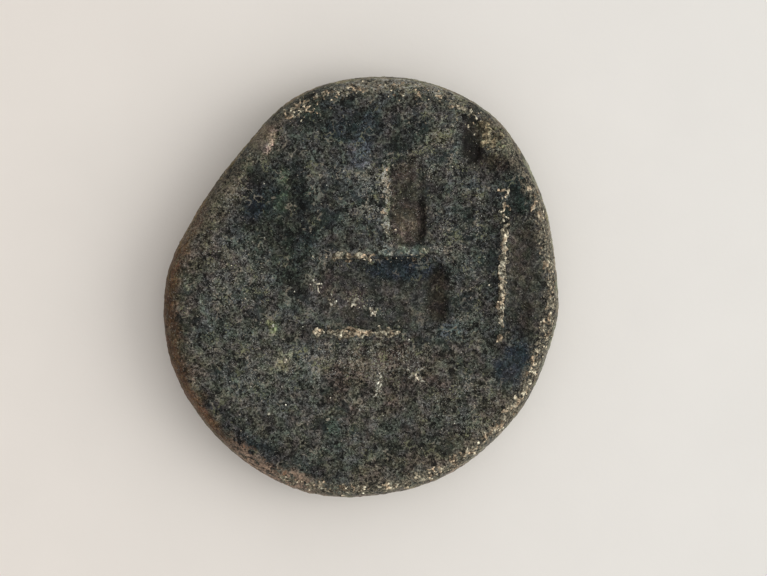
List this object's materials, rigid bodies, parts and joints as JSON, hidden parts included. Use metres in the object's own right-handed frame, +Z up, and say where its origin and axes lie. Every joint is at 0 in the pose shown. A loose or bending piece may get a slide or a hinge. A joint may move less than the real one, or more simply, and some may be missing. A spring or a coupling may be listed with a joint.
{
  "type": "hand-struck metal token",
  "caption": "Thick, irregular hand-struck disc of dark copper alloy with a plain sunk-panel device on one face, worn all over, with sandy soil still lodged on it.",
  "frame": {"origin": "middle of the bounding box in plan, on the surface that the token lies on", "axes": "+X to the right of the struck face, +Y to its top, +Z up out of the struck face"},
  "size_m": [0.0198, 0.021, 0.0038],
  "materials": {
    "patina": "copper alloy under a dull, pitted, dark green-grey to brown patina, with fine speckle and no bare shine",
    "soil": "dry, matte, cream and tan sand grains bound to the metal",
    "ochre_soil": "dry, matte, ochre and olive grains bound to the metal"
  },
  "bodies": {
    "root": {"flan": "patina", "rim_soil": "soil", "crown_soil": "soil", "corner_lump": "ochre_soil", "panel_upper_soil": "soil", "panel_lower_soil": "soil", "groove_soil": "soil", "channel_soil": "soil"}
  },
  "joints": []
}
